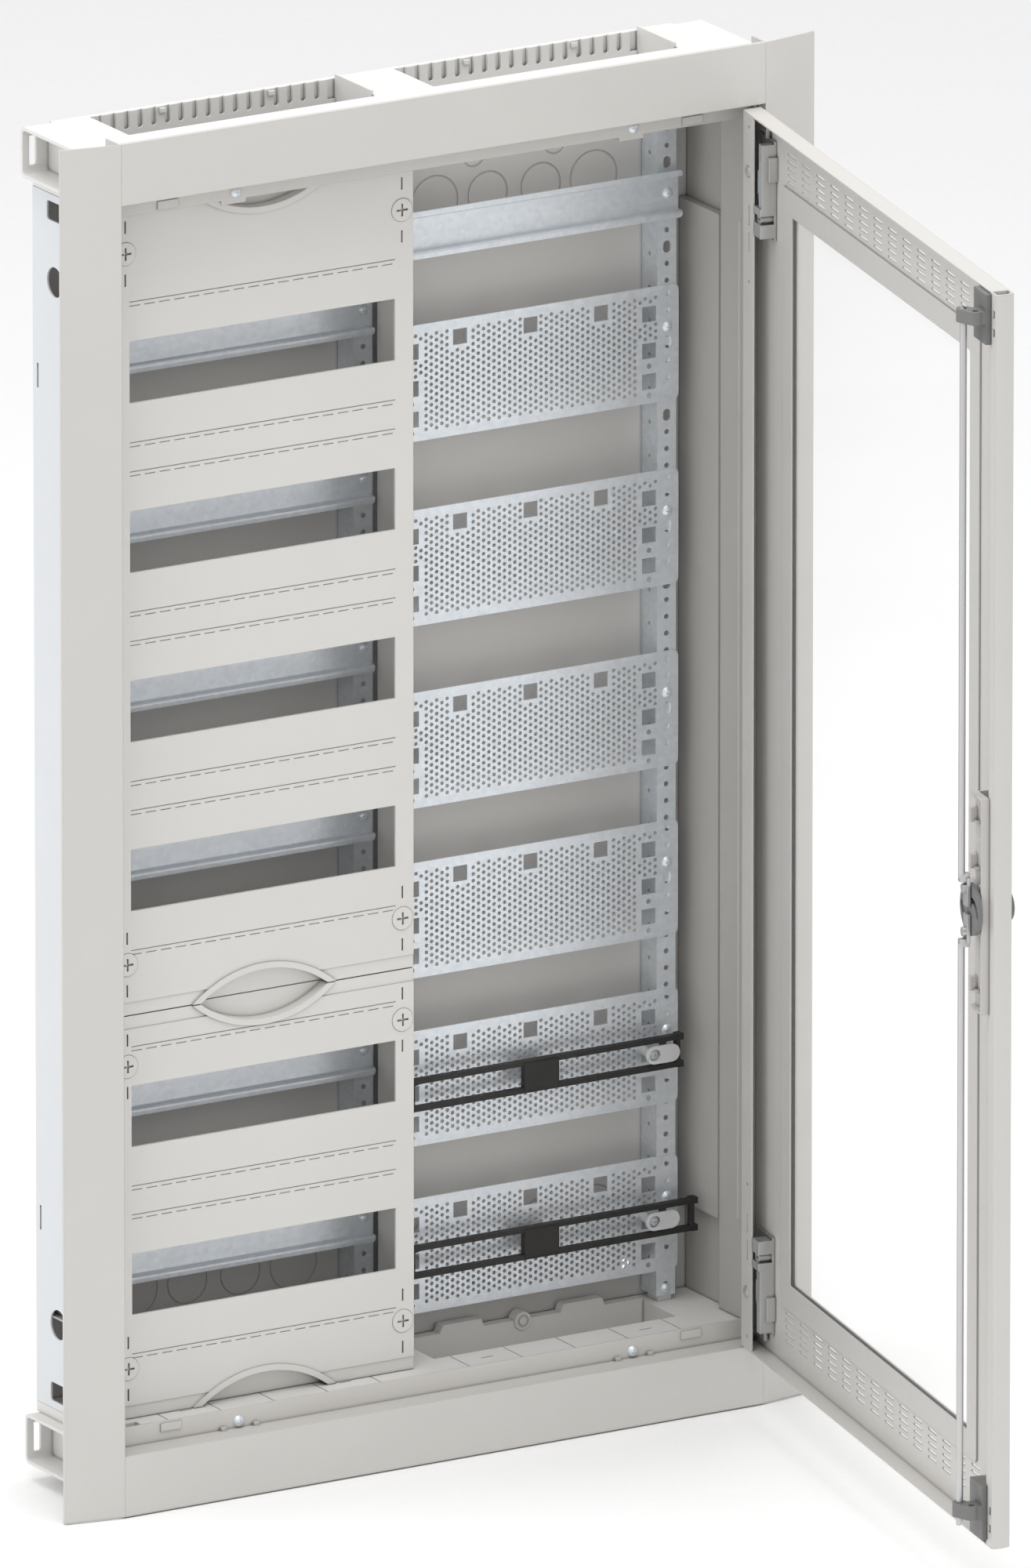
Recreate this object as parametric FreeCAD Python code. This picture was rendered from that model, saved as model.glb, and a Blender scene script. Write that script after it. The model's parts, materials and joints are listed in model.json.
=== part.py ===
import FreeCAD, Part
import math
import os

# Recessed two-field distribution cabinet with a glazed door, in millimetres.
# Origin: centre of the rear wall's outer face. +X right, -Y out of the front, +Z up.

# ---------------------------------------------------------------- driving dimensions
FIELD = 250.0                 # width of one equipment field
FIELDS = (-FIELD / 2, FIELD / 2)
BOX_X = 270.0                 # half width of the wall box
STEEL_Z = 450.0               # half height of the steel walls
BOX_Z = 495.0                 # half height over the moulded end pieces
BOX_FRONT = -95.5             # front edge of the wall box
SHEET = 1.5                   # steel sheet of the box and the trim
REAR = 2.0                    # rear wall thickness
BAND_X = 262.0                # inner face of the side walls' front band

OPEN_X = 265.0                # half width of the trim opening
OPEN_Z = 462.0                # half height of the trim opening
TRIM = 45.0                   # width of the trim frame's sides
TRIM_FACE = -117.0            # front plane of the trim at the opening
TRIM_TAPER = 8.0              # the stiles fall back this far towards their outer edges
LIP_Z = 447.5                 # half height of the inner frame's opening
LIP_RIGHT = 255.4             # inner edge of the lip between the two hinges
HINGE_CUT = 372.0             # the right lip steps back beyond this height

RAIL_FACE = -24.0             # front plane of the four upright profile rails
RAIL_WIDTH = 15.7
RAIL_X = 113.85               # rail centre from the centre of its pair
RAIL_PAIRS = (-127.0, 125.0)  # centres of the two rail pairs
RAIL_Z = 446.0
RASTER = 12.5                 # hole raster of the rails

COVER_FACE = -74.0
COVER_T = 2.0
COVER_RETURN = 10.0           # depth of the folded rim along the top and bottom
COVER_WING = -27.0            # the side returns reach back to here
COVER_TOP = 449.8             # upper edge of the upper cover
COVER_X = 124.0               # half width of a cover
WINDOW_X = 109.0              # half width of a device window, twelve modules
WINDOW_Z = 45.6
WINDOW_CENTRES = (325.0, 200.0, 75.0, -50.0, -225.0, -350.0)
SEAM_Z = -150.0               # seam between the two covers
SCREW_ROWS = (412.5, -112.0, -187.5, -412.5)
FASTENER_X = (-237.3, -10.3)  # the two columns of cover fasteners

DIN_WIDTH = 35.0
DIN_DEPTH = 7.5
DIN_SPAN = (-245.5, -7.5)     # the six rails behind the covers
DIN_SINGLE_SPAN = (2.5, 247.5)
DIN_RISE = 2.5                # rails sit this far above the window centres
DIN_SINGLE_Z = 377.5          # the one rail of the open field

PLATE_X = 123.0
PLATE_Z = 86.0
PLATE_T = 1.2
PLATE_TOPS = (309.5, 172.6, 37.1, -89.5, -215.1, -340.5)
HOLE_PITCH = 5.0
HOLE_R = 1.45
SQUARE = 11.6

DOOR_ANGLE = 79.0             # the door stands open at rest
PIVOT_X = 257.4
PIVOT_Y = -113.0
DOOR_EDGE_X = 261.7           # hinge edge of the closed door
DOOR_FACE = -117.3            # outer face of the closed door
DOOR_WIDTH = 525.3
DOOR_Z = 460.0
DOOR_DEPTH = 14.2
DOOR_SKIN = 1.2
PIN_R = 1.75
LOCK_S = 503.0                # lock axis from the hinge edge
LOCK_Z = 6.5
ROD_T = 30.0                  # rod axis behind the door's outer face
ROD_R = 2.5
ROD_TRAVEL = 10.0             # stroke of each rod for a quarter turn
ROD_TIP = 446.7               # rod tips at rest, just inside the frame's opening
FOLLOWER_REST = 5.5           # radius of the follower pins with the rods drawn in
FOLLOWER_R = 2.0
FIXING_X = 218.0
FIXING_Z = 425.0

GAP = 0.3                     # free space beside moving parts


# ---------------------------------------------------------------- small helpers
def vec(x, y, z):
    return FreeCAD.Vector(x, y, z)


def box(xs, ys, zs):
    """Box between two values on each axis, in any order."""
    low = vec(min(xs), min(ys), min(zs))
    return Part.makeBox(abs(xs[1] - xs[0]), abs(ys[1] - ys[0]), abs(zs[1] - zs[0]), low)


def rod_y(x, z, radius, ys):
    return Part.makeCylinder(radius, abs(ys[1] - ys[0]), vec(x, min(ys), z), vec(0, 1, 0))


def rod_z(x, y, radius, zs):
    return Part.makeCylinder(radius, abs(zs[1] - zs[0]), vec(x, y, min(zs)), vec(0, 0, 1))


def rod_x(y, z, radius, xs):
    return Part.makeCylinder(radius, abs(xs[1] - xs[0]), vec(min(xs), y, z), vec(1, 0, 0))


def fuse(shapes):
    """Join touching solids into one clean solid."""
    shapes = list(shapes)
    if len(shapes) == 1:
        return shapes[0]
    return shapes[0].multiFuse(shapes[1:]).removeSplitter()


def group(shapes):
    """Several loose solids that share one node."""
    return Part.makeCompound(list(shapes))


def polygon_xz(points):
    return Part.makePolygon([vec(x, 0, z) for x, z in points + points[:1]])


def rect_xz(xs, zs, radius=0.0):
    """Rectangle in the XZ plane, with rounded corners where a radius is given."""
    x0, x1 = min(xs), max(xs)
    z0, z1 = min(zs), max(zs)
    if radius <= 0:
        return polygon_xz([(x0, z0), (x1, z0), (x1, z1), (x0, z1)])
    r = radius
    k = r * (1 - math.sqrt(0.5))
    edges = []
    corners = (((x1 - r, z0), (x1 - k, z0 + k), (x1, z0 + r)),
               ((x1, z1 - r), (x1 - k, z1 - k), (x1 - r, z1)),
               ((x0 + r, z1), (x0 + k, z1 - k), (x0, z1 - r)),
               ((x0, z0 + r), (x0 + k, z0 + k), (x0 + r, z0)))
    last = (x0 + r, z0)
    for start, middle, end in corners:
        if math.dist(last, start) > 1e-6:
            edges.append(Part.makeLine(vec(last[0], 0, last[1]), vec(start[0], 0, start[1])))
        arc = Part.Arc(*[vec(x, 0, z) for x, z in (start, middle, end)])
        edges.append(arc.toShape())
        last = end
    if math.dist(last, (x0 + r, z0)) > 1e-6:
        edges.append(Part.makeLine(vec(last[0], 0, last[1]), vec(x0 + r, 0, z0)))
    return Part.Wire(edges)


def circle_xz(x, z, radius):
    return Part.Wire(Part.makeCircle(radius, vec(x, 0, z), vec(0, 1, 0)))


def plate_xz(outline, holes, ys):
    """Flat plate from an outline and its holes, spanning ys."""
    face = Part.makeFace([outline] + list(holes), "Part::FaceMakerBullseye")
    face.translate(vec(0, min(ys), 0))
    return face.extrude(vec(0, abs(ys[1] - ys[0]), 0))


def prism_xy(points, zs):
    """Upright prism over a polygon in the XY plane."""
    wire = Part.makePolygon([vec(x, y, min(zs)) for x, y in points + points[:1]])
    return Part.Face(wire).extrude(vec(0, 0, abs(zs[1] - zs[0])))


def prism_yz(points, xs):
    """Level prism over a polygon in the YZ plane."""
    wire = Part.makePolygon([vec(min(xs), y, z) for y, z in points + points[:1]])
    return Part.Face(wire).extrude(vec(abs(xs[1] - xs[0]), 0, 0))


def mirrored_x(shape):
    return shape.mirror(vec(0, 0, 0), vec(1, 0, 0))


def mirrored_z(shape):
    return shape.mirror(vec(0, 0, 0), vec(0, 0, 1))


def dome_screw(x, z, face_y, head_r=4.2, height=2.6):
    """Pan head with a cross slot, lying on a plane that faces the front."""
    sphere_r = (head_r ** 2 + height ** 2) / (2 * height)
    head = Part.makeSphere(sphere_r, vec(x, face_y - height + sphere_r, z))
    head = head.common(rod_y(x, z, head_r, (face_y - height - 1, face_y)))
    arm = head_r * 0.5
    slots = [box((x - arm, x + arm), (face_y - height - 1, face_y - height + 1.1), (z - 0.45, z + 0.45)),
             box((x - 0.45, x + 0.45), (face_y - height - 1, face_y - height + 1.1), (z - arm, z + arm))]
    return head.cut(slots)


def door_place(shape):
    """Swing a part that is drawn on the closed door to where it stands at rest."""
    placed = shape.copy()
    placed.rotate(vec(PIVOT_X, PIVOT_Y, 0), vec(0, 0, 1), DOOR_ANGLE)
    return placed


def door_x(s):
    """X on the closed door, s being the distance from its hinge edge."""
    return DOOR_EDGE_X - s


def door_y(t):
    """Y on the closed door, t being the distance behind its outer face."""
    return DOOR_FACE + t


def door_box(ss, ts, zs):
    return box([door_x(s) for s in ss], [door_y(t) for t in ts], zs)


def save(shape, node):
    """Write one node after checking that it is made of closed solids."""
    solids = shape.Solids
    if not solids or not shape.isValid():
        raise ValueError("bad shape in " + node)
    shape.exportStep("parts/" + node + ".step")
    print(node, len(solids), "solids", round(sum(s.Volume for s in solids) / 1000, 1), "cm3")


# ---------------------------------------------------------------- wall box
RING_GROOVE = 1.2
RING_DEPTH = 0.4
RING_ROWS = ((391.0, 421.0), (-381.0, -411.0))       # main row and the small rings beyond it
KNOCK_OUTS = ((22.0, 16.8), (66.0, 19.8))            # offset from the field centre, radius
SMALL_KNOCK_OUT = (33.5, 9.0)


def ring_groove(x, z, radius):
    ys = (-REAR - 1, -REAR + RING_DEPTH)
    return rod_y(x, z, radius, ys).cut(rod_y(x, z, radius - RING_GROOVE, ys))


def rear_panel():
    """Flat rear wall with four fixing holes and rows of scored knock-out rings."""
    holes = [circle_xz(x, z, 4.1) for x in (-FIXING_X, FIXING_X) for z in (-FIXING_Z, FIXING_Z)]
    wall = plate_xz(rect_xz((-268.3, 268.3), (-STEEL_Z + 0.2, STEEL_Z - 0.2)), holes, (-REAR, 0))
    grooves = []
    for field in FIELDS:
        for side in (-1, 1):
            for row_z, small_z in RING_ROWS:
                grooves += [ring_groove(field + side * offset, row_z, radius) for offset, radius in KNOCK_OUTS]
                grooves.append(ring_groove(field + side * SMALL_KNOCK_OUT[0], small_z, SMALL_KNOCK_OUT[1]))
    return wall.cut(grooves)


def side_panel():
    """Right side wall: outer sheet, a front flange and a band folded back inside."""
    sheet = box((BOX_X - SHEET, BOX_X), (BOX_FRONT, 0), (-STEEL_Z, STEEL_Z))
    flange = box((BAND_X, BOX_X - SHEET), (BOX_FRONT, BOX_FRONT + SHEET), (-STEEL_Z, STEEL_Z))
    band = box((BAND_X, BAND_X + SHEET), (BOX_FRONT + SHEET, -60), (-STEEL_Z, STEEL_Z))
    return fuse([sheet, flange, band])


def side_openings():
    """Cable openings punched in the left side wall: windows, rounds and narrow slots."""
    through = (-BOX_X - 1, -BOX_X + 3)
    cuts = []
    for side in (-1, 1):
        window = box(through, (-46, -20), (side * 430.5, side * 444.5))
        cuts.append(window.makeFillet(2.5, [e for e in window.Edges if abs(e.tangentAt(0).x) > 0.9]))
        cuts.append(rod_x(-31, side * 386, 11.0, through))
        cuts.append(box(through, (-7.6, -5.4), (side * 303, side * 321)))
    return cuts


def side_liner():
    """Shallow tray that lines the right side wall between its two recesses."""
    low, high = -383.0, 366.0
    web = box((BAND_X, BAND_X + 1.2), (-57, -REAR - 0.2), (low, high))
    rims = [box((BAND_X + 1.2, BOX_X - SHEET), ys, zs) for ys, zs in
            (((-57, -REAR - 0.2), (low, low + 1.2)),
             ((-57, -REAR - 0.2), (high - 1.2, high)),
             ((-57, -55.8), (low, high)))]
    return fuse([web] + rims)


# ---------------------------------------------------------------- moulded end pieces
END_WALL = 2.5
LUG_HEIGHT = 37.0
LUG_OUT = 9.5                 # the anchor lugs stand this far outside the box
POCKET_X = 101.0              # half width of a cable pocket
POCKET_REAR = -5.0
POCKET_FRONT = -60.0


def anchor_lug():
    """C-shaped channel at the top right corner, open outwards, with a rear window."""
    outer = box((BOX_X - 14, BOX_X + LUG_OUT), (BOX_FRONT, 0), (BOX_Z - LUG_HEIGHT, BOX_Z))
    rear_edges = [e for e in outer.Edges
                  if abs(e.tangentAt(0).x) > 0.9 and abs(e.CenterOfMass.y) < 0.1]
    outer = outer.makeFillet(5.0, rear_edges)
    hollow = box((BOX_X - 11.5, BOX_X + LUG_OUT + 1), (BOX_FRONT - 1, -END_WALL),
                 (BOX_Z - LUG_HEIGHT + END_WALL, BOX_Z - END_WALL))
    rear_edges = [e for e in hollow.Edges
                  if abs(e.tangentAt(0).x) > 0.9 and abs(e.CenterOfMass.y + END_WALL) < 0.1]
    hollow = hollow.makeFillet(3.0, rear_edges)
    window = box((BOX_X - 2, BOX_X + 4), (-END_WALL - 1, 1), (BOX_Z - 29.5, BOX_Z - 7.5))
    return outer.cut([hollow, window])


def end_piece_body():
    """Top end piece: a tray with two cable pockets, rail seats and two anchor lugs."""
    inner_x = BOX_X - 14
    shell = box((-inner_x, inner_x), (BOX_FRONT, 0), (STEEL_Z + 0.2, BOX_Z))
    hollow_top = BOX_Z - END_WALL
    cuts = []
    for field in FIELDS:
        pocket = box((field - POCKET_X, field + POCKET_X), (POCKET_FRONT, POCKET_REAR),
                     (STEEL_Z - 1, BOX_Z + 1))
        cuts.append(pocket)
        for side in (-1, 1):
            x = field + side * (POCKET_X + 10.5)
            cuts.append(box((x - 6.5, x + 6.5), (-86, -26), (STEEL_Z + 3, hollow_top)))
        cuts.append(box((field - 92, field + 92), (-88, POCKET_FRONT - 3), (STEEL_Z + 3, hollow_top)))
    body = shell.cut(cuts)
    ends = []
    for mirror in (lambda s: s, mirrored_x):
        block = box((inner_x, BOX_X - 0.2), (BOX_FRONT, 0), (STEEL_Z + 0.2, BOX_Z - LUG_HEIGHT))
        ends += [mirror(anchor_lug()), mirror(block)]
    seats = []
    for pair in RAIL_PAIRS:
        for side in (-1, 1):
            x = pair + side * RAIL_X
            seats.append(box((x - 5.5, x + 5.5), (RAIL_FACE + SHEET, -8), (STEEL_Z - 16, STEEL_Z + 0.4)))
    rod_x_closed = door_x(LOCK_S)
    pocket = box((rod_x_closed - 6, rod_x_closed + 6), (BOX_FRONT - 1, -81), (STEEL_Z - 1, STEEL_Z + 11))
    return fuse([body] + ends + seats).cut(pocket)


def break_lines(piece):
    """Scored break-off lines across the front strip of an end piece."""
    cuts = []
    for field in FIELDS:
        for x in (-88, -44, 0, 44, 88):
            cuts.append(box((field + x - 0.4, field + x + 0.4), (-92, POCKET_FRONT),
                            (STEEL_Z - 1, STEEL_Z + 0.8)))
        for x in (-66, 66):
            cuts.append(box((field + x - 5, field + x + 5), (-76, -74.6), (STEEL_Z - 1, STEEL_Z + 1.6)))
    return piece.cut(cuts)


COMB_TEETH = 17
COMB_PITCH = 11.15
COMB_SLOT = 4.4
COMB_ROOT_Z = 482.7


def cable_comb(field):
    """Cable entry insert: toothed rear wall between two end walls, standing in a pocket."""
    top = BOX_Z + 0.8
    foot = BOX_Z - 36
    half = COMB_PITCH * (COMB_TEETH - 1) / 2
    wall_y = (-8.2, -6.7)
    outline = rect_xz((field - half - 3.4, field + half + 3.4), (foot, top))
    wall = plate_xz(outline, [], wall_y)
    cuts = []
    for i in range(COMB_TEETH - 1):
        x = field - half + (i + 0.5) * COMB_PITCH
        root = COMB_ROOT_Z + COMB_SLOT / 2
        cuts.append(box((x - COMB_SLOT / 2, x + COMB_SLOT / 2), (-10, -5), (root, top + 1)))
        cuts.append(rod_y(x, root, COMB_SLOT / 2, (-10, -5)))
    comb = wall.cut(cuts)
    ribs = [box((field - half + i * COMB_PITCH - 3.35, field - half + i * COMB_PITCH - 2.2),
                (wall_y[1], wall_y[1] + 1.4), (COMB_ROOT_Z, top)) for i in range(COMB_TEETH)]
    for i in (4, 12):
        x = field - half + i * COMB_PITCH
        ribs.append(box((x - 1.5, x + 3.3), (wall_y[0] - 2.2, wall_y[0]), (top - 4.5, top - 1.2)))
    ends = [box((field + POCKET_X - 2.0, field + POCKET_X - 0.3), (-58, wall_y[1]), (foot, top + 3)),
            box((field - POCKET_X + 0.3, field - POCKET_X + 2.0), (-58, wall_y[1]), (foot, BOX_Z - 1)),
            box((field - POCKET_X + 0.3, field - half - 3.3), wall_y, (foot, BOX_Z - 14)),
            box((field + half + 3.3, field + POCKET_X - 0.3), wall_y, (foot, BOX_Z - 14))]
    return fuse([comb] + ribs + ends)


INSERT_FRONT = -14.0          # front face of the closing insert's upright wall
INSERT_TOP = -449.0
PAD_TOP = -443.0


def entry_plate(field):
    """Closing insert of a bottom cable pocket: floor, upright wall with a ledge, pads and a boss."""
    floor = -BOX_Z + 6
    back = POCKET_REAR - 0.3
    xs = (field - POCKET_X + 0.3, field + POCKET_X - 0.3)
    parts = [box(xs, (POCKET_FRONT + 0.3, back), (-BOX_Z + 0.5, floor)),
             box(xs, (INSERT_FRONT, INSERT_FRONT + 2), (floor, INSERT_TOP)),
             box(xs, (INSERT_FRONT, back), (INSERT_TOP - 1.6, INSERT_TOP)),
             rod_y(field, INSERT_TOP - 1, 6.8, (INSERT_FRONT - 0.8, back))]
    for side in (-1, 1):
        slope = [(field + side * 32, INSERT_TOP), (field + side * 34.5, PAD_TOP),
                 (field + side * 66.5, PAD_TOP), (field + side * 69, INSERT_TOP)]
        parts.append(plate_xz(polygon_xz(slope), [], (INSERT_FRONT, back)))
    groove = rod_y(field, INSERT_TOP - 1, 4.6, (INSERT_FRONT - 1, INSERT_FRONT - 0.1))
    core = rod_y(field, INSERT_TOP - 1, 3.0, (INSERT_FRONT - 0.8, INSERT_FRONT))
    return fuse([fuse(parts).cut(groove), core])


# ---------------------------------------------------------------- inner frame and trim
SEAL_X = 268.3                # half width of the ring
PAD_X = 216.0
TRIM_SCREW_X = (-160.0, 167.5)
TRIM_SCREW_Z = (453.0, -457.5)


def inner_frame():
    """Ring of flat sheet behind the trim: a lip inside the opening, with screw seats."""
    y = (BOX_FRONT - SHEET, BOX_FRONT)
    left = -BAND_X - 0.5
    cut_x = BAND_X + 0.5
    opening = polygon_xz([(left, -LIP_Z), (cut_x, -LIP_Z), (cut_x, -HINGE_CUT),
                          (LIP_RIGHT, -HINGE_CUT), (LIP_RIGHT, HINGE_CUT), (cut_x, HINGE_CUT),
                          (cut_x, LIP_Z), (left, LIP_Z)])
    ring = plate_xz(rect_xz((-SEAL_X, SEAL_X), (-468, 468)), [opening], y)
    extras = []
    for x in (-PAD_X, PAD_X):
        for side in (-1, 1):
            pad_z = (side * (LIP_Z + 1.5), side * (LIP_Z + 7.5))
            extras.append(box((x - 8.5, x + 8.5), (y[0] - 1, y[0]), pad_z))
    for x in TRIM_SCREW_X:
        extras.append(box((x - 12, x + 8), y, (LIP_Z - 3, LIP_Z)))
    return fuse([ring] + extras)


def trim_stile():
    """Right stile: full height, its face falling back outwards, edges folded back."""
    outer_x = OPEN_X + TRIM
    height = (-OPEN_Z - TRIM, OPEN_Z + TRIM)
    back = TRIM_FACE + TRIM_TAPER
    face = [(OPEN_X, TRIM_FACE), (outer_x, back), (outer_x, back + 2.6), (outer_x - SHEET, back + 2.6),
            (outer_x - SHEET, back + SHEET + 0.2), (OPEN_X + SHEET, TRIM_FACE + SHEET),
            (OPEN_X + SHEET, BOX_FRONT - SHEET), (OPEN_X, BOX_FRONT - SHEET)]
    return prism_xy(face, height)


def trim_rail():
    """Top rail between the stiles, with a ledge folded back along the opening."""
    ys = (TRIM_FACE, TRIM_FACE + SHEET)
    xs = (-OPEN_X, OPEN_X)
    top = OPEN_Z + TRIM
    section = [box(xs, ys, (OPEN_Z, top)),
               box(xs, (ys[1], BOX_FRONT - SHEET), (OPEN_Z, OPEN_Z + SHEET)),
               box(xs, (ys[1], ys[1] + 2.5), (top - SHEET, top))]
    rail = fuse(section)
    hole = rod_z(PIVOT_X, PIVOT_Y, PIN_R + 0.35, (OPEN_Z - 1, OPEN_Z + SHEET + 0.1))
    tabs = []
    for x in TRIM_SCREW_X:
        for side in (-13.5, 13.5):
            tabs.append(box((x + side - 2, x + side + 2), (BOX_FRONT - SHEET - 3, BOX_FRONT - SHEET),
                            (OPEN_Z - 2.6, OPEN_Z)))
    return fuse([rail] + tabs).cut(hole)


def pivot_bushes():
    """Bearing blocks behind the trim rails that take the door's upper and lower pin."""
    bottom = OPEN_Z + SHEET + 0.1
    block = box((PIVOT_X - 7, OPEN_X - 0.1), (TRIM_FACE + SHEET + 0.1, -100), (bottom, bottom + 11))
    block = block.cut(rod_z(PIVOT_X, PIVOT_Y, PIN_R + 0.05, (bottom - 1, bottom + 8)))
    return group([block, mirrored_z(block)])


# ---------------------------------------------------------------- mounting rails and plates
def profile_rail(x_centre, flank_side):
    """Upright angle profile with a hole raster; flank_side is where its flank stands."""
    xs = (x_centre - RAIL_WIDTH / 2, x_centre + RAIL_WIDTH / 2)
    holes = []
    count = int(RAIL_Z // RASTER)
    for i in range(-count, count + 1):
        z = i * RASTER
        if i % 5 == 2:
            holes.append(rect_xz((x_centre - 3, x_centre + 3), (z - 4.4, z + 4.4), 2.9))
        else:
            holes.append(circle_xz(x_centre, z, 1.95))
    web = plate_xz(rect_xz(xs, (-RAIL_Z, RAIL_Z)), holes, (RAIL_FACE, RAIL_FACE + SHEET))
    edge = xs[1] if flank_side > 0 else xs[0]
    inner = edge - flank_side * SHEET
    flank = box((edge, inner), (RAIL_FACE + SHEET, -REAR - 0.2), (-RAIL_Z, RAIL_Z))
    cuts = [rod_x(-13, i * 2 * RASTER + 6, 1.6, (edge - 3, edge + 3)) for i in range(-17, 18)]
    return fuse([web, flank]).cut(cuts)


def din_rail(xs, z_centre):
    """Top-hat rail, 35 by 7.5, with rounded ends on its lips."""
    front = RAIL_FACE - DIN_DEPTH
    parts = [box(xs, (RAIL_FACE - 1, RAIL_FACE), (z_centre - 13.5, z_centre + 13.5))]
    for side in (-1, 1):
        web_z = (z_centre + side * 12.5, z_centre + side * 13.5)
        parts.append(box(xs, (front, RAIL_FACE - 1), web_z))
        parts.append(box(xs, (front, front + 1), (z_centre + side * 13.5, z_centre + side * 17.5)))
    rail = fuse(parts)
    ends = [e for e in rail.Edges if abs(e.tangentAt(0).y) > 0.9 and e.Length < 1.1
            and abs(abs(e.CenterOfMass.z - z_centre) - 17.5) < 0.1]
    return rail.makeFillet(2.5, ends)


def square_centres():
    """Square cut-outs of a perforated plate, from its centre and top edge."""
    top_row = [(x, -13.3) for x in (-58.5, 0, 58.5)]
    end_columns = [(side * 98.5, z) for side in (-1, 1) for z in (-19.7, -47.0, -69.7)]
    return top_row + end_columns


def perforated_plate(z_top):
    """Mounting plate of the open field with staggered small holes and square cut-outs."""
    centre = FIELDS[1]
    squares = square_centres()
    holes = [rect_xz((centre + x - SQUARE / 2, centre + x + SQUARE / 2),
                     (z_top + z - SQUARE / 2, z_top + z + SQUARE / 2)) for x, z in squares]
    keep_off = SQUARE / 2 + HOLE_R + 0.7
    column_step = HOLE_PITCH * math.sqrt(0.75)
    for column in range(-24, 25):
        x = column * column_step
        shift = 0.0 if column % 2 == 0 else HOLE_PITCH / 2
        rows = 15 if column % 2 == 0 else 14
        for row in range(rows):
            z = -8.0 - shift - row * HOLE_PITCH
            blocked = any(abs(x - sx) < keep_off and abs(z - sz) < keep_off for sx, sz in squares)
            at_end = abs(x) > 89 and z < -54
            if not blocked and not at_end:
                holes.append(circle_xz(centre + x, z_top + z, HOLE_R))
    for side in (-1, 1):
        x = centre + side * RAIL_X
        for z in (-6.0, -18.5, -56.0, -68.6):
            holes.append(circle_xz(x, z_top + z, 2.0))
        holes.append(rect_xz((x - 3, x + 3), (z_top - 47, z_top - 38), 2.9))
        for z in (-58.4, -80.0):
            holes.append(circle_xz(centre + side * 98.5, z_top + z, 2.0))
    outline = rect_xz((centre - PLATE_X, centre + PLATE_X), (z_top - PLATE_Z, z_top), 5.0)
    return plate_xz(outline, holes, (RAIL_FACE - PLATE_T, RAIL_FACE))


PLATE_SCREW_DROP = 31.0


def mounting_screws():
    """All pan-head screws: trim, rails, plates and the feet of the profile rails."""
    screws = [dome_screw(x, z, BOX_FRONT - SHEET, 4.4, 3.0) for x in TRIM_SCREW_X for z in TRIM_SCREW_Z]
    for z in WINDOW_CENTRES:
        screws += [dome_screw(RAIL_PAIRS[0] + side * RAIL_X, z + DIN_RISE, RAIL_FACE - 1) for side in (-1, 1)]
    for side in (-1, 1):
        x = FIELDS[1] + side * RAIL_X
        screws.append(dome_screw(x, DIN_SINGLE_Z, RAIL_FACE - 1))
        screws += [dome_screw(x, top - PLATE_SCREW_DROP, RAIL_FACE - PLATE_T) for top in PLATE_TOPS]
        for pair in RAIL_PAIRS:
            screws += [dome_screw(pair + side * RAIL_X, z, RAIL_FACE) for z in (-441, 441)]
    return group(screws)


# ---------------------------------------------------------------- covers
GRIP_CHORD = 118.0
GRIP_RISE = 22.5
GRIP_RIM = 3.6


def segment_prism(x_centre, z_edge, up, shrink, ys):
    """Prism over a circular segment that rises from z_edge, shrunk evenly all round."""
    half = GRIP_CHORD / 2
    radius = (half ** 2 + GRIP_RISE ** 2) / (2 * GRIP_RISE)
    centre_z = z_edge + up * (GRIP_RISE - radius)
    ring = rod_y(x_centre, centre_z, radius - shrink, ys)
    side = box((x_centre - 70, x_centre + 70), ys, (z_edge, z_edge + up * 40))
    return ring.common(side)


def grip_cup(x_centre, z_edge, up):
    """Finger grip at a cover's edge: a rim along the arc and a back wall behind it."""
    back = (COVER_FACE + 8, COVER_FACE + 9.5)
    rim = segment_prism(x_centre, z_edge, up, 0.0, (COVER_FACE - 1.2, back[1]))
    rim = rim.cut(segment_prism(x_centre, z_edge - up, up, GRIP_RIM, (COVER_FACE - 2, back[0])))
    return rim


def cover_grooves(z_low, z_high, centres):
    """Scored lines above and below each window: one full line and one broken line."""
    depth = (COVER_FACE - 1, COVER_FACE + 0.5)
    cuts = []
    for z in centres:
        for side in (-1, 1):
            line = z + side * (WINDOW_Z / 2 + 29)
            if not z_low + 6 < line < z_high - 6:
                continue
            cuts.append(box((FIELDS[0] - WINDOW_X, FIELDS[0] + WINDOW_X), depth, (line - 0.3, line + 0.3)))
            for i in range(18):
                x = FIELDS[0] - WINDOW_X + i * 12.2
                cuts.append(box((x, x + 8.5), depth, (line - 3.3, line - 2.7)))
    return cuts


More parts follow.
